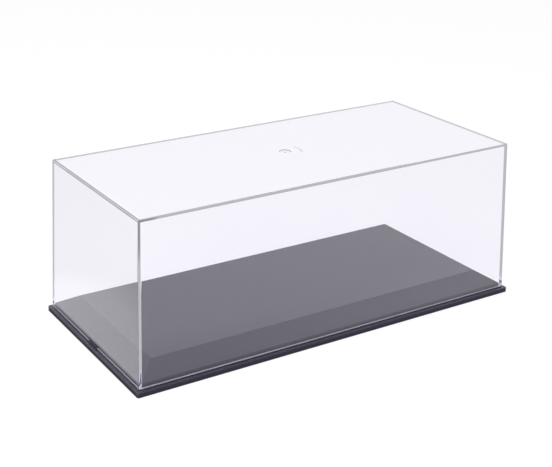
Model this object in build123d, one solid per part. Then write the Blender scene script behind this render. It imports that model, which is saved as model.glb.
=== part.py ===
"""Display case for a large-scale model car.

A black moulded base carries a raised deck with four sloped sides. A clear
moulded cover stands on a seat round the deck and lifts straight off. Four
stick-on pads keep the base from sliding.

Millimetres. X runs along the length, the front faces -Y and Z is up. The origin
is the middle of the footprint, on the surface that the case stands on.
"""
import os
from math import atan, cos, degrees, tan

from build123d import *

# Driving dimensions of the base
base_length = 325.0
base_width = 152.2
rim_corner_radius = 1.5
rim_edge_radius = 0.4
rim_underside_z = 0.3
ledge_z = 4.0
ledge_width = 2.7
seat_z = 4.7
seat_setback = 0.4
riser_inset = 2.9
riser_top_z = 7.6
deck_z = 16.1
deck_inset = 17.1
deck_edge_radius = 0.5
base_wall = 2.2

# Driving dimensions of the lug that keys the cover, in the middle of the left short side
lug_length = 12.4
lug_top_z = 6.1
lug_edge_radius = 0.3
lug_clearance = 0.2

# Driving dimensions of the underside
rib_thickness = 1.6
rib_depth = 3.0
long_rib_count = 2
cross_rib_count = 5
foot_diameter = 13.0
foot_thickness = 1.5
foot_edge_radius = 0.3
foot_edge_distance = 24.0
boss_wall = 1.8

# Driving dimensions of the cover
cover_top_z = 121.9
cover_draft = 0.0392
cover_wall = 2.2
cover_foot_gap = 0.05
cover_edge_radius = 0.8
cover_inner_radius = 0.5
cover_foot_radius = 0.25

# Driving dimensions of the moulding gate mark in the middle of the cover's top
gate_diameter = 9.0
gate_depth = 0.5
gate_floor_diameter = 7.6
nub_diameter = 2.6
nub_height = 0.35

# Sizes that follow from them
cover_length = base_length - 2 * ledge_width
cover_width = base_width - 2 * ledge_width
cover_foot_z = seat_z + cover_foot_gap
slope_angle = atan((deck_z - riser_top_z) / (deck_inset - riser_inset))
slope_wall_height = base_wall / cos(slope_angle)
cavity_top_z = deck_z - base_wall
cavity_top_inset = deck_inset + (slope_wall_height - base_wall) / tan(slope_angle)
cavity_side_inset = riser_inset + base_wall
cavity_side_top_z = cavity_top_z - (cavity_top_inset - cavity_side_inset) * tan(slope_angle)
overlap = 0.5


def inset_rectangle(inset, z):
    """The outline of the cover's foot, drawn in by inset, at height z."""
    return Pos(0, 0, z) * Rectangle(cover_length - 2 * inset, cover_width - 2 * inset)


def upright(inset, z_low, z_high):
    """A block with upright sides, drawn in by inset from the outline of the cover's foot."""
    return extrude(inset_rectangle(inset, z_low), amount=z_high - z_low)


def leaning(inset_low, z_low, inset_high, z_high):
    """A block whose four flat sides lean in from one inset to another."""
    height = z_high - z_low
    lean = degrees(atan((inset_high - inset_low) / height))
    return extrude(inset_rectangle(inset_low, z_low), amount=height, taper=lean)


def raised_edges(block, z_low):
    """The edges of a block that aren't on its underside."""
    return block.edges().filter_by(lambda edge: edge.bounding_box().max.Z > z_low + 0.01)


def make_rim():
    """The flat flange round the base, with rounded corners and a softened upper edge."""
    outline = RectangleRounded(base_length, base_width, rim_corner_radius)
    flange = extrude(Pos(0, 0, rim_underside_z) * outline, amount=ledge_z - rim_underside_z)
    upper_edges = flange.edges().group_by(Axis.Z)[-1]
    return fillet(upper_edges, rim_edge_radius)


def make_pedestal():
    """The step that the cover stands on, the riser inside its foot, and the deck with its four slopes."""
    step = upright(seat_setback, ledge_z - overlap, seat_z)
    riser = upright(riser_inset, seat_z, riser_top_z)
    deck = leaning(riser_inset, riser_top_z, deck_inset, deck_z)
    deck = fillet(raised_edges(deck, riser_top_z), deck_edge_radius)
    return step + riser + deck


def make_lug():
    """The upstand on the seat that fills the notch in the cover and runs back into the riser."""
    depth = riser_inset + overlap
    height = lug_top_z - ledge_z + overlap
    lug = Box(depth, lug_length, height, align=(Align.MIN, Align.CENTER, Align.MAX))
    outer_edges = lug.faces().sort_by(Axis.X)[0].edges().filter_by(
        lambda edge: edge.center().Z > -height + 0.01
    )
    return Pos(-cover_length / 2, 0, lug_top_z) * fillet(outer_edges, lug_edge_radius)


def make_cavity(grown=0.0):
    """The hollow underside, which follows the riser, slopes and deck, grown outwards on every side."""
    side_inset = cavity_side_inset - grown
    lower = upright(side_inset, -overlap, cavity_side_top_z)
    upper = leaning(side_inset, cavity_side_top_z, cavity_top_inset - grown, cavity_top_z + grown)
    return lower + upper


def make_ribs():
    """Shallow ribs that stiffen the deck from below."""
    reach = rib_depth + overlap
    middle_z = cavity_top_z - rib_depth + reach / 2
    cavity_length = cover_length - 2 * cavity_top_inset
    cavity_width = cover_width - 2 * cavity_top_inset
    ribs = []
    for index in range(long_rib_count):
        y = cavity_width * ((index + 1) / (long_rib_count + 1) - 0.5)
        ribs.append(Pos(0, y, middle_z) * Box(cover_length, rib_thickness, reach))
    for index in range(cross_rib_count):
        x = cavity_length * ((index + 1) / (cross_rib_count + 1) - 0.5)
        ribs.append(Pos(x, 0, middle_z) * Box(rib_thickness, cover_width, reach))
    return ribs


def foot_places():
    """Each foot's node name with its X and Y."""
    x = base_length / 2 - foot_edge_distance
    y = base_width / 2 - foot_edge_distance
    return [
        ("foot_front_left", -x, -y),
        ("foot_front_right", x, -y),
        ("foot_back_left", -x, y),
        ("foot_back_right", x, y),
    ]


def make_bosses():
    """Tubular bosses that come down to the feet."""
    outline = Circle(foot_diameter / 2) - Circle(foot_diameter / 2 - boss_wall)
    height = cavity_top_z + overlap - foot_thickness
    return [extrude(Pos(x, y, foot_thickness) * outline, amount=height) for _, x, y in foot_places()]


def make_base():
    """The black moulding, in one piece."""
    base = make_rim() + make_pedestal() + make_lug() - make_cavity()
    reach = make_cavity(grown=overlap)
    for piece in make_ribs() + make_bosses():
        base += piece & reach
    return base


def cover_inset(z):
    """How far the cover's outer face has leaned in at height z."""
    return (z - cover_foot_z) * cover_draft


def make_cover_body():
    """The clear shell: four drafted walls and a top, open below."""
    outer = leaning(0.0, cover_foot_z, cover_inset(cover_top_z), cover_top_z)
    outer = fillet(raised_edges(outer, cover_foot_z), cover_edge_radius)
    ceiling_z = cover_top_z - cover_wall
    inner_foot_z = cover_foot_z - overlap
    inner = leaning(
        cover_wall + cover_inset(inner_foot_z),
        inner_foot_z,
        cover_wall + cover_inset(ceiling_z),
        ceiling_z,
    )
    inner = fillet(raised_edges(inner, inner_foot_z), cover_inner_radius)
    shell = outer - inner
    foot_face = shell.faces().sort_by(Axis.Z)[0]
    return fillet(foot_face.outer_wire().edges(), cover_foot_radius)


def make_notch():
    """The gap in the cover's lower edge that passes over the lug."""
    top_z = lug_top_z + lug_clearance
    height = top_z - cover_foot_z + overlap
    length = lug_length + 2 * lug_clearance
    through = 4 * cover_wall
    notch = Box(through, length, height, align=(Align.CENTER, Align.CENTER, Align.MAX))
    return Pos(-cover_length / 2, 0, top_z) * notch


def make_gate_recess():
    """A shallow dish in the top, where the moulding gate was."""
    floor = Pos(0, 0, cover_top_z - gate_depth) * Circle(gate_floor_diameter / 2)
    mouth = Pos(0, 0, cover_top_z) * Circle(gate_diameter / 2)
    return loft([floor, mouth], ruled=True)


def make_gate_nub():
    """The stub of the sprue on the dish's floor."""
    foot = Pos(0, 0, cover_top_z - gate_depth - overlap) * Circle(nub_diameter / 2)
    return extrude(foot, amount=overlap + nub_height)


def make_cover():
    """The clear moulding, in one piece."""
    return make_cover_body() - make_notch() - make_gate_recess() + make_gate_nub()


def make_foot(x, y):
    """A round stick-on pad, flat above and softened round its lower edge."""
    pad = extrude(Circle(foot_diameter / 2), amount=foot_thickness)
    pad = fillet(pad.edges().group_by(Axis.Z)[0], foot_edge_radius)
    return Pos(x, y, 0) * pad


def main():
    """Writes each piece to its own file."""
    os.makedirs("parts", exist_ok=True)
    export_step(make_base(), "parts/base.step")
    export_step(make_cover(), "parts/cover.step")
    for name, x, y in foot_places():
        export_step(make_foot(x, y), f"parts/{name}.step")


main()
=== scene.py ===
"""Looks of the model car display case: a black moulded base under a clear moulded cover.

Metres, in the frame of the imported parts. X runs along the length, the front
faces -Y, Z is up, and the origin is on the surface that the case stands on.
"""
from math import cos, radians, sin

import bpy
from mathutils import Matrix, Vector

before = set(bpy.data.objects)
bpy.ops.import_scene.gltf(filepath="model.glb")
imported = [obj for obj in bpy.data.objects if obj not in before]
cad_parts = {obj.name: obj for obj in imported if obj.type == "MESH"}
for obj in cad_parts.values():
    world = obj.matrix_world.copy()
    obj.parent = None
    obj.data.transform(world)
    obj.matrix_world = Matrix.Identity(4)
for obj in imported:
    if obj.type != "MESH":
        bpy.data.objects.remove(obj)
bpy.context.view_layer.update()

# The photograph's frame and the viewpoint that it was taken from
picture_width_px = 552
picture_height_px = 467
focal_length_px = 1136.7
optical_axis_px = (225.0, 225.0)
view_azimuth = radians(-30.739)
view_elevation = radians(21.982)
view_roll = radians(0.173)
view_distance = 0.88185
view_offset_right = -0.04381
view_offset_up = 0.05879
film_width_mm = 36.0

# Brightness of the studio, where 1 is the white of the background
white = (1.0, 1.0, 1.0, 1.0)
room_in_mirrors = (0.97, 0.955, 1.0, 1.0)
sky_level = 0.72
floor_size = 24.0
floor_glow = 0.76
floor_albedo = 0.27

# Painted shadow and painted uneven brightness on the floor, seen only in reflections: the places along X
# and the distances from the base over which the floor's brightness in reflections changes
foreground_span = (-0.12, 0.12)
foreground_levels = (0.62, 0.88)
front_span = (0.035, 0.080)
front_far_level = 0.82
left_span = (0.045, 0.080)
left_levels = (1.0, 0.78)
left_side_span = (-0.1625, -0.1645)
shadow_span = (0.005, 0.0075)
shadow_narrower_at_left = 0.0025
shadow_level = 0.08

# Painted shade and light on the cover's edges: tints for light that leaves a wall after bouncing inside it,
# which grey the edges: in general, lighter and lavender within the zone by the foot, and darker within the
# zone high up at the left
edge_shade_tint = (0.47, 0.465, 0.495, 1.0)
foot_light_tint = (0.66, 0.62, 0.90, 1.0)
upper_left_shade_tint = (0.26, 0.26, 0.28, 1.0)
foot_zone = (0.007, 0.010)
upper_zone = (0.085, 0.098)
left_zone_limit = -0.135
left_zone_limit_by_corners = -0.15
corner_zone = (0.052, 0.056)

# A point inside the cover, which tells its outer faces from its inner ones
cover_middle = (0.0, 0.0, 0.065)

# The cover's foot face and its rounded edge are matt, and the matt ends between these heights
matt_span = (0.00499, 0.00503)
matt_roughness = 0.6

# Painted shade on the notch over the lug: its faces are darkened to stand for the shaded gap against the
# black lug
notch_half_length = 0.0066
notch_top_height = 0.0064
notch_shade_tint = (0.10, 0.10, 0.13, 1.0)

# A faint flow line on the cover's top, a short arc round the moulding gate, drawn as painted shade in place
# of the light bent at its relief
flow_line_radius = 0.0123
flow_line_half_width = 0.0009
flow_line_towards = (0.9976, -0.0698, 0.0)
flow_line_shade_tint = (0.48, 0.48, 0.51, 1.0)
top_height = 0.1215

# Half the length and width of the base, for the painted shadow round its foot in reflections
half_base = (0.1625, 0.0761)


# Node helpers
def add_node(tree, kind, name, **settings):
    """A node of that kind, with its plain settings set."""
    node = tree.nodes.new(kind)
    node.name = name
    node.label = name.replace("_", " ")
    for key, value in settings.items():
        setattr(node, key, value)
    return node


def calculate(tree, operation, first, second, name):
    """A Math node; each operand is a socket or a number."""
    node = add_node(tree, "ShaderNodeMath", name, operation=operation)
    for socket, operand in zip(node.inputs, (first, second)):
        connect_or_set(tree, socket, operand)
    return node.outputs[0]


def connect_or_set(tree, socket, value):
    """Links value to a socket if it is one itself, and otherwise stores it there."""
    if isinstance(value, bpy.types.NodeSocket):
        tree.links.new(value, socket)
    elif value is not None:
        socket.default_value = value


def vector_maths(tree, operation, first, second, name):
    """A Vector Math node; gives the number of a dot product, and otherwise the vector."""
    node = add_node(tree, "ShaderNodeVectorMath", name, operation=operation)
    connect_or_set(tree, node.inputs[0], first)
    connect_or_set(tree, node.inputs[1], second)
    return node.outputs["Value" if operation == "DOT_PRODUCT" else "Vector"]


def mix_colour(tree, factor, first, second, name):
    """A colour between first and second."""
    node = add_node(tree, "ShaderNodeMix", name, data_type="RGBA")
    connect_or_set(tree, node.inputs[0], factor)
    connect_or_set(tree, node.inputs[6], first)
    connect_or_set(tree, node.inputs[7], second)
    return node.outputs[2]


def remap(tree, value, low, high, to_low, to_high, name):
    """Value taken from the span low..high to to_low..to_high, and held there at both ends."""
    node = add_node(tree, "ShaderNodeMapRange", name)
    connect_or_set(tree, node.inputs["Value"], value)
    for key, number in (("From Min", low), ("From Max", high), ("To Min", to_low), ("To Max", to_high)):
        connect_or_set(tree, node.inputs[key], number)
    return node.outputs["Result"]


def noise(tree, vector, scale, name, detail=2.0, roughness=0.5, distortion=0.0):
    """Soft noise between 0 and 1; scale is in patches a metre."""
    node = add_node(tree, "ShaderNodeTexNoise", name)
    tree.links.new(vector, node.inputs["Vector"])
    connect_or_set(tree, node.inputs["Scale"], scale)
    connect_or_set(tree, node.inputs["Detail"], detail)
    connect_or_set(tree, node.inputs["Roughness"], roughness)
    connect_or_set(tree, node.inputs["Distortion"], distortion)
    return node.outputs["Fac"]


def new_material(name):
    """An empty node material with its Principled shader and its output."""
    material = bpy.data.materials.new(name)
    material.use_nodes = True
    tree = material.node_tree
    tree.nodes.clear()
    output = add_node(tree, "ShaderNodeOutputMaterial", "output")
    shader = add_node(tree, "ShaderNodeBsdfPrincipled", "plastic")
    tree.links.new(shader.outputs["BSDF"], output.inputs["Surface"])
    return material, tree, shader, output


def new_group(name, inputs, outputs):
    """A shader node group with named sockets; returns the tree with its two ends."""
    tree = bpy.data.node_groups.new(name, "ShaderNodeTree")
    for label, kind, value in inputs:
        socket = tree.interface.new_socket(name=label, in_out="INPUT", socket_type=kind)
        if value is not None:
            socket.default_value = value
    for label, kind in outputs:
        tree.interface.new_socket(name=label, in_out="OUTPUT", socket_type=kind)
    return tree, tree.nodes.new("NodeGroupInput"), tree.nodes.new("NodeGroupOutput")


def place_group(tree, group, name, **values):
    """A group node in a material, with its inputs named by keyword."""
    node = add_node(tree, "ShaderNodeGroup", name)
    node.node_tree = group
    for key, value in values.items():
        connect_or_set(tree, node.inputs[key.replace("_", " ")], value)
    return node


def object_place(tree):
    """Where the shaded point is, in metres on the object."""
    return add_node(tree, "ShaderNodeTexCoord", "place").outputs["Object"]


def add_relief(tree, shader, height, name):
    """Makes a height in metres show in the shading."""
    bump = add_node(tree, "ShaderNodeBump", name)
    bump.inputs["Strength"].default_value = 1.0
    bump.inputs["Distance"].default_value = 1.0
    tree.links.new(height, bump.inputs["Height"])
    tree.links.new(bump.outputs["Normal"], shader.inputs["Normal"])


# Effects that several finishes share
def make_moulded_skin():
    """The slow waviness of a moulded face and the fine texture of its polish."""
    tree, start, end = new_group(
        "moulded skin",
        [
            ("Place", "NodeSocketVector", None),
            ("Ripples a metre", "NodeSocketFloat", 40.0),
            ("Ripple height", "NodeSocketFloat", 0.0001),
            ("Grains a metre", "NodeSocketFloat", 3000.0),
            ("Grain height", "NodeSocketFloat", 0.000002),
        ],
        [("Height", "NodeSocketFloat"), ("Ripple", "NodeSocketFloat"), ("Grain", "NodeSocketFloat")],
    )
    ripple = noise(tree, start.outputs["Place"], start.outputs["Ripples a metre"], "ripple", 1.0)
    grain = noise(tree, start.outputs["Place"], start.outputs["Grains a metre"], "grain", 3.0)
    ripple_height = calculate(tree, "MULTIPLY", ripple, start.outputs["Ripple height"], "ripple_height")
    grain_height = calculate(tree, "MULTIPLY", grain, start.outputs["Grain height"], "grain_height")
    height = calculate(tree, "ADD", ripple_height, grain_height, "height")
    tree.links.new(height, end.inputs["Height"])
    tree.links.new(ripple, end.inputs["Ripple"])
    tree.links.new(grain, end.inputs["Grain"])
    return tree


def make_handling_marks():
    """Faint smears and dust, as masks between 0 and 1."""
    tree, start, end = new_group(
        "handling marks",
        [
            ("Place", "NodeSocketVector", None),
            ("Smear size a metre", "NodeSocketFloat", 18.0),
            ("Dust a metre", "NodeSocketFloat", 420.0),
            ("Dust share", "NodeSocketFloat", 0.06),
        ],
        [("Smears", "NodeSocketFloat"), ("Dust", "NodeSocketFloat")],
    )
    place = start.outputs["Place"]
    smear = noise(tree, place, start.outputs["Smear size a metre"], "smear", 3.0, 0.55, 0.8)
    smears = remap(tree, smear, 0.45, 0.72, 0.0, 1.0, "smears")
    tree.links.new(smears, end.inputs["Smears"])

    specks = add_node(tree, "ShaderNodeTexVoronoi", "specks", feature="F1")
    tree.links.new(place, specks.inputs["Vector"])
    tree.links.new(start.outputs["Dust a metre"], specks.inputs["Scale"])
    share = start.outputs["Dust share"]
    speck_size = calculate(tree, "MULTIPLY", specks.outputs["Color"], share, "speck_size")
    dust = calculate(tree, "LESS_THAN", specks.outputs["Distance"], speck_size, "dust")
    tree.links.new(dust, end.inputs["Dust"])
    return tree


# Finishes
def flow_line(tree, place, height):
    """A mask for the faint flow line beside the gate, which is painted dark in place of its refraction."""
    level = vector_maths(tree, "MULTIPLY", place, (1.0, 1.0, 0.0), "level")
    squared = vector_maths(tree, "DOT_PRODUCT", level, level, "squared_radius")
    past_line = calculate(tree, "SUBTRACT", squared, flow_line_radius ** 2, "past_line")
    off_line = calculate(tree, "ABSOLUTE", past_line, None, "off_line")
    half_width = 2 * flow_line_radius * flow_line_half_width
    line = remap(tree, off_line, 0.5 * half_width, 1.3 * half_width, 1.0, 0.0, "line")
    along = vector_maths(tree, "DOT_PRODUCT", level, flow_line_towards, "along")
    sector = remap(tree, along, 0.84 * flow_line_radius, 0.90 * flow_line_radius, 0.0, 1.0, "sector")
    arc = calculate(tree, "MULTIPLY", line, sector, "arc")
    on_top = calculate(tree, "GREATER_THAN", height, top_height, "on_top")
    return calculate(tree, "MULTIPLY", arc, on_top, "flow_line")


def notch_faces(tree, parts):
    """A mask for the faces of the notch in the left wall, where shade is painted."""
    low = calculate(tree, "LESS_THAN", parts["Z"], notch_top_height, "low")
    left = calculate(tree, "LESS_THAN", parts["X"], 0.0, "left")
    off_middle = calculate(tree, "ABSOLUTE", parts["Y"], None, "off_middle")
    in_middle = calculate(tree, "LESS_THAN", off_middle, notch_half_length, "in_middle")
    low_left = calculate(tree, "MULTIPLY", low, left, "low_left")
    return calculate(tree, "MULTIPLY", low_left, in_middle, "notch")


def trapped_light(tree, rays, place):
    """A mask for light that comes to an outer face after bouncing about inside a wall."""
    inside = calculate(tree, "COMPARE", rays.outputs["Transmission Depth"], 1.0, "inside_a_wall")
    bounced = calculate(tree, "GREATER_THAN", rays.outputs["Glossy Depth"], 1.5, "bounced")
    from_middle = vector_maths(tree, "SUBTRACT", place, cover_middle, "from_middle")
    facing = add_node(tree, "ShaderNodeNewGeometry", "facing").outputs["True Normal"]
    inwards = vector_maths(tree, "DOT_PRODUCT", from_middle, facing, "inwards")
    outer = calculate(tree, "LESS_THAN", inwards, 0.0, "outer_face")
    at_outer = calculate(tree, "MULTIPLY", bounced, outer, "at_outer")
    return calculate(tree, "MULTIPLY", inside, at_outer, "trapped")


def painted_edge_shade(tree, parts):
    """Painted shade for trapped light, by where on the cover it comes out: lighter and lavender by the
    foot, darker high up at the left.
    """
    near_foot = remap(tree, parts["Z"], *foot_zone, 1.0, 0.0, "near_foot")
    low_grey = mix_colour(tree, near_foot, edge_shade_tint, foot_light_tint, "low_grey")
    near_top = remap(tree, parts["Z"], *upper_zone, 0.0, 1.0, "near_top")
    off_middle = calculate(tree, "ABSOLUTE", parts["Y"], None, "off_middle")
    left_limit = remap(
        tree, off_middle, *corner_zone, left_zone_limit, left_zone_limit_by_corners, "left_limit"
    )
    at_left = calculate(tree, "LESS_THAN", parts["X"], left_limit, "at_left")
    upper_left = calculate(tree, "MULTIPLY", near_top, at_left, "upper_left")
    return mix_colour(tree, upper_left, low_grey, upper_left_shade_tint, "grey")


def let_light_out(tree, shader, output, place, parts, tint):
    """Lets light straight out once it is through one wall, is trapped in a wall or is at the notch, and
    dims it with painted shade on the edges and at the notch.
    """
    rays = add_node(tree, "ShaderNodeLightPath", "rays")
    matt_light = calculate(
        tree, "MAXIMUM", rays.outputs["Is Shadow Ray"], rays.outputs["Is Diffuse Ray"], "matt_light"
    )
    through = calculate(tree, "GREATER_THAN", rays.outputs["Transmission Depth"], 1.5, "through_a_wall")
    beyond = calculate(tree, "MAXIMUM", matt_light, through, "beyond")
    trapped = trapped_light(tree, rays, place)
    let_out = calculate(tree, "MAXIMUM", beyond, trapped, "let_out")
    notch = notch_faces(tree, parts)
    leaving = calculate(tree, "MAXIMUM", let_out, notch, "leaving")
    first = calculate(tree, "LESS_THAN", rays.outputs["Transparent Depth"], 0.5, "first_way_out")
    greyed = calculate(tree, "MULTIPLY", trapped, first, "greyed")
    # Painted shade on the edges, where trapped light comes out
    lit = mix_colour(tree, greyed, tint, painted_edge_shade(tree, parts), "lit")
    # Painted shade at the notch
    dimmed = mix_colour(tree, notch, lit, notch_shade_tint, "dimmed")
    straight = add_node(tree, "ShaderNodeBsdfTransparent", "straight_through")
    tree.links.new(dimmed, straight.inputs["Color"])
    blend = add_node(tree, "ShaderNodeMixShader", "by_ray")
    tree.links.new(leaving, blend.inputs[0])
    tree.links.new(shader.outputs["BSDF"], blend.inputs[1])
    tree.links.new(straight.outputs["BSDF"], blend.inputs[2])
    tree.links.new(blend.outputs["Shader"], output.inputs["Surface"])


def clear_polystyrene(skin, marks):
    """Polished clear plastic with a faint lavender cast, slightly wavy and barely handled, with painted
    shade along a flow line, on the edges and at the notch.
    """
    material, tree, shader, output = new_material("clear_polystyrene")
    place = object_place(tree)
    surface = place_group(
        tree, skin, "moulded_skin",
        Place=place, Ripples_a_metre=22.0, Ripple_height=0.00003, Grains_a_metre=900.0, Grain_height=0.0,
    )
    handling = place_group(
        tree, marks, "handling_marks",
        Place=place, Smear_size_a_metre=11.0, Dust_a_metre=160.0, Dust_share=0.04,
    )
    tint = mix_colour(
        tree, surface.outputs["Ripple"], (0.972, 0.967, 0.988, 1.0), (0.963, 0.957, 0.982, 1.0), "tint"
    )
    split = add_node(tree, "ShaderNodeSeparateXYZ", "place_parts")
    tree.links.new(place, split.inputs[0])
    parts = split.outputs
    # Painted shade along the flow line
    marked = mix_colour(tree, flow_line(tree, place, parts["Z"]), tint, flow_line_shade_tint, "marked")
    tree.links.new(marked, shader.inputs["Base Color"])
    haze = remap(tree, handling.outputs["Smears"], 0.0, 1.0, 0.0, 0.035, "haze")
    matt_foot = remap(tree, parts["Z"], *matt_span, matt_roughness, 0.0, "matt_foot")
    tree.links.new(calculate(tree, "MAXIMUM", haze, matt_foot, "roughness"), shader.inputs["Roughness"])
    add_relief(tree, shader, surface.outputs["Height"], "waviness")
    shader.inputs["IOR"].default_value = 1.59
    shader.inputs["Transmission Weight"].default_value = 1.0
    let_light_out(tree, shader, output, place, parts, tint)
    return material


def black_polystyrene(skin, marks):
    """Semi-gloss black moulding with a fine polish texture, faint flow variation and a little dust."""
    material, tree, shader, _ = new_material("black_polystyrene")
    place = object_place(tree)
    surface = place_group(
        tree, skin, "moulded_skin",
        Place=place, Ripples_a_metre=30.0, Ripple_height=0.00003,
        Grains_a_metre=2600.0, Grain_height=0.0000005,
    )
    handling = place_group(
        tree, marks, "handling_marks",
        Place=place, Smear_size_a_metre=16.0, Dust_a_metre=260.0, Dust_share=0.035,
    )
    body = mix_colour(
        tree, surface.outputs["Ripple"], (0.028, 0.026, 0.042, 1.0), (0.034, 0.031, 0.051, 1.0), "body"
    )
    dusty = mix_colour(tree, handling.outputs["Dust"], body, (0.10, 0.10, 0.12, 1.0), "dusty")
    tree.links.new(dusty, shader.inputs["Base Color"])
    polish = remap(tree, surface.outputs["Grain"], 0.3, 0.7, 0.17, 0.23, "polish")
    worn = calculate(tree, "MULTIPLY_ADD", handling.outputs["Smears"], 0.05, "worn")
    tree.links.new(polish, worn.node.inputs[2])
    tree.links.new(worn, shader.inputs["Roughness"])
    add_relief(tree, shader, surface.outputs["Height"], "texture")
    shader.inputs["IOR"].default_value = 1.57
    return material


def pad_rubber(skin, marks):
    """Matt black rubber of the stick-on pads."""
    material, tree, shader, _ = new_material("pad_rubber")
    place = object_place(tree)
    surface = place_group(
        tree, skin, "moulded_skin",
        Place=place, Ripples_a_metre=300.0, Ripple_height=0.00002,
        Grains_a_metre=4000.0, Grain_height=0.00003,
    )
    handling = place_group(
        tree, marks, "handling_marks",
        Place=place, Smear_size_a_metre=120.0, Dust_a_metre=900.0, Dust_share=0.12,
    )
    body = mix_colour(
        tree, surface.outputs["Grain"], (0.024, 0.024, 0.026, 1.0), (0.036, 0.036, 0.038, 1.0), "body"
    )
    dusty = mix_colour(tree, handling.outputs["Dust"], body, (0.12, 0.12, 0.12, 1.0), "dusty")
    tree.links.new(dusty, shader.inputs["Base Color"])
    dull = remap(tree, surface.outputs["Grain"], 0.3, 0.7, 0.68, 0.82, "dull")
    tree.links.new(dull, shader.inputs["Roughness"])
    add_relief(tree, shader, surface.outputs["Height"], "texture")
    return material


def dress_parts():
    """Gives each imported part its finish."""
    skin = make_moulded_skin()
    marks = make_handling_marks()
    finishes = {
        "cover": clear_polystyrene(skin, marks),
        "base": black_polystyrene(skin, marks),
        "foot": pad_rubber(skin, marks),
    }
    for name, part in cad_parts.items():
        finish = finishes[name.split("_")[0]]
        for part_slot in part.material_slots:
            part_slot.material = finish


# Studio
def mirror_rays(tree):
    """1 for what shows in a reflection, and 0 for what shows directly, through plastic or along a wall."""
    rays = add_node(tree, "ShaderNodeLightPath", "ray_kind")
    reflected = calculate(tree, "COMPARE", rays.outputs["Glossy Depth"], 1.0, "reflected_once")
    in_wall = calculate(tree, "COMPARE", rays.outputs["Transmission Depth"], 1.0, "in_wall")
    clear_of_wall = calculate(tree, "SUBTRACT", 1.0, in_wall, "clear_of_wall")
    glossy = calculate(tree, "MULTIPLY", reflected, rays.outputs["Is Glossy Ray"], "glossy")
    return calculate(tree, "MULTIPLY", glossy, clear_of_wall, "mirrored")


def floor_in_reflections(tree):
    """The floor's painted brightness in reflections: a painted shadow by the case's foot, painted
    unevenness elsewhere, at most white.
    """
    place = add_node(tree, "ShaderNodeSeparateXYZ", "floor_place")
    tree.links.new(object_place(tree), place.inputs[0])
    beyond = []
    for axis, half in zip("XY", half_base):
        from_middle = calculate(tree, "ABSOLUTE", place.outputs[axis], None, "from_middle_" + axis)
        past = calculate(tree, "SUBTRACT", from_middle, half, "past_" + axis)
        held = calculate(tree, "MAXIMUM", past, 0.0, "held_" + axis)
        beyond.append(calculate(tree, "MULTIPLY", held, held, "squared_" + axis))
    squared = calculate(tree, "ADD", beyond[0], beyond[1], "squared_distance")
    distance = calculate(tree, "SQRT", squared, None, "distance")
    # Painted uneven brightness of the floor in reflections, by place
    foreground = remap(tree, place.outputs["X"], *foreground_span, *foreground_levels, "foreground")
    front = remap(tree, distance, *front_span, foreground, front_far_level, "front")
    left = remap(tree, distance, *left_span, *left_levels, "left")
    leftwards = remap(tree, place.outputs["X"], *left_side_span, 0.0, 1.0, "leftwards")
    shadow_edge = calculate(tree, "MULTIPLY_ADD", leftwards, shadow_narrower_at_left, "shadow_edge")
    tree.links.new(distance, shadow_edge.node.inputs[2])
    # Painted shadow: the floor darkens in reflections close to the base's foot
    shadow = remap(tree, shadow_edge, *shadow_span, shadow_level, 1.0, "shadow")
    level = add_node(tree, "ShaderNodeMix", "level", data_type="FLOAT")
    for socket, value in zip((level.inputs[0], level.inputs[2], level.inputs[3]), (leftwards, front, left)):
        connect_or_set(tree, socket, value)
    return calculate(tree, "MULTIPLY", level.outputs[0], shadow, "brightness")


def make_floor():
    """A white floor that glows to the white of the background and keeps a soft shadow; in reflections it
    shows a painted shadow and painted uneven brightness instead.
    """
    bpy.ops.mesh.primitive_plane_add(size=floor_size, location=(0, 0, 0))
    floor = bpy.context.object
    floor.name = "studio_floor"
    material = bpy.data.materials.new("studio_floor")
    material.use_nodes = True
    tree = material.node_tree
    tree.nodes.clear()
    output = add_node(tree, "ShaderNodeOutputMaterial", "output")
    matt = add_node(tree, "ShaderNodeBsdfDiffuse", "matt")
    matt.inputs["Color"].default_value = (floor_albedo, floor_albedo, floor_albedo, 1.0)
    glow = add_node(tree, "ShaderNodeEmission", "glow")
    glow.inputs["Color"].default_value = white
    glow.inputs["Strength"].default_value = floor_glow
    both = add_node(tree, "ShaderNodeAddShader", "both")
    tree.links.new(matt.outputs["BSDF"], both.inputs[0])
    tree.links.new(glow.outputs["Emission"], both.inputs[1])
    # The floor as reflections see it, with its painted shadow and painted brightness
    reflected = add_node(tree, "ShaderNodeEmission", "reflected")
    reflected.inputs["Color"].default_value = room_in_mirrors
    tree.links.new(floor_in_reflections(tree), reflected.inputs["Strength"])
    by_ray = add_node(tree, "ShaderNodeMixShader", "by_ray")
    tree.links.new(mirror_rays(tree), by_ray.inputs[0])
    tree.links.new(both.outputs["Shader"], by_ray.inputs[1])
    tree.links.new(reflected.outputs["Emission"], by_ray.inputs[2])
    tree.links.new(by_ray.outputs["Shader"], output.inputs["Surface"])
    floor.data.materials.append(material)


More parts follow.
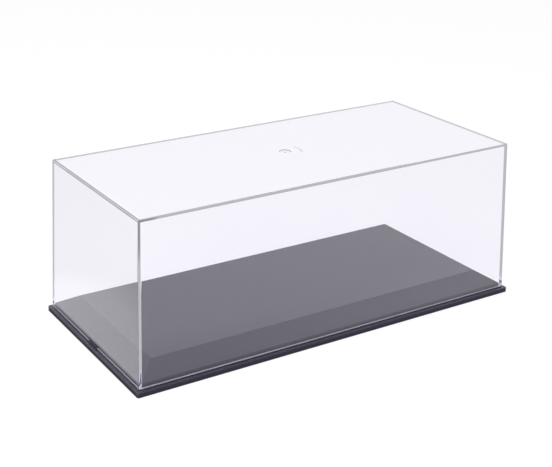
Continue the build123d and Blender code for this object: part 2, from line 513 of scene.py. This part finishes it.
def make_surroundings():
    """White for the camera, a faintly cool white in reflections, and a dimmer white for matt faces."""
    world = bpy.data.worlds.new("studio")
    bpy.context.scene.world = world
    world.use_nodes = True
    tree = world.node_tree
    tree.nodes.clear()
    output = add_node(tree, "ShaderNodeOutputWorld", "output")
    background = add_node(tree, "ShaderNodeBackground", "room")
    rays = add_node(tree, "ShaderNodeLightPath", "rays")
    colour = mix_colour(tree, mirror_rays(tree), white, room_in_mirrors, "colour")
    seen = calculate(tree, "MAXIMUM", rays.outputs["Is Camera Ray"], rays.outputs["Is Glossy Ray"], "seen")
    shown = calculate(tree, "MAXIMUM", seen, rays.outputs["Is Transmission Ray"], "shown")
    strength = remap(tree, shown, 0.0, 1.0, sky_level, 1.0, "strength")
    tree.links.new(colour, background.inputs["Color"])
    tree.links.new(strength, background.inputs["Strength"])
    tree.links.new(background.outputs["Background"], output.inputs["Surface"])


def softbox(name, place, target, size, power):
    """A square area lamp aimed at a point."""
    data = bpy.data.lights.new(name, "AREA")
    data.shape = "RECTANGLE"
    data.size, data.size_y = size
    data.energy = power
    lamp = bpy.data.objects.new(name, data)
    lamp.location = place
    aim = Vector(target) - Vector(place)
    lamp.rotation_mode = "QUATERNION"
    lamp.rotation_quaternion = aim.to_track_quat("-Z", "Y")
    bpy.context.scene.collection.objects.link(lamp)


def make_lamps():
    """One large soft key from the upper left."""
    softbox("key_softbox", (-0.9, -0.7, 1.3), (0, 0, 0.05), (1.2, 1.2), 16.0)


def place_camera():
    """The photograph's viewpoint: a pinhole camera fitted to the edges of the case."""
    back = Vector((
        sin(view_azimuth) * cos(view_elevation),
        -cos(view_azimuth) * cos(view_elevation),
        sin(view_elevation),
    ))
    level_right = Vector((cos(view_azimuth), sin(view_azimuth), 0.0))
    level_up = back.cross(level_right)
    right = cos(view_roll) * level_right + sin(view_roll) * level_up
    up = cos(view_roll) * level_up - sin(view_roll) * level_right
    data = bpy.data.cameras.new("camera")
    data.sensor_fit = "HORIZONTAL"
    data.sensor_width = film_width_mm
    data.lens = film_width_mm * focal_length_px / picture_width_px
    data.shift_x = (picture_width_px / 2 - optical_axis_px[0]) / picture_width_px
    data.shift_y = (optical_axis_px[1] - picture_height_px / 2) / picture_width_px
    data.clip_start = 0.01
    data.clip_end = 100.0
    camera = bpy.data.objects.new("camera", data)
    turn = Matrix((right, up, back)).transposed().to_4x4()
    place = view_offset_right * right + view_offset_up * up + view_distance * back
    camera.matrix_world = Matrix.Translation(place) @ turn
    bpy.context.scene.collection.objects.link(camera)
    bpy.context.scene.camera = camera


place_camera()
make_floor()
make_surroundings()
make_lamps()
dress_parts()
bpy.context.scene.view_settings.view_transform = "Standard"
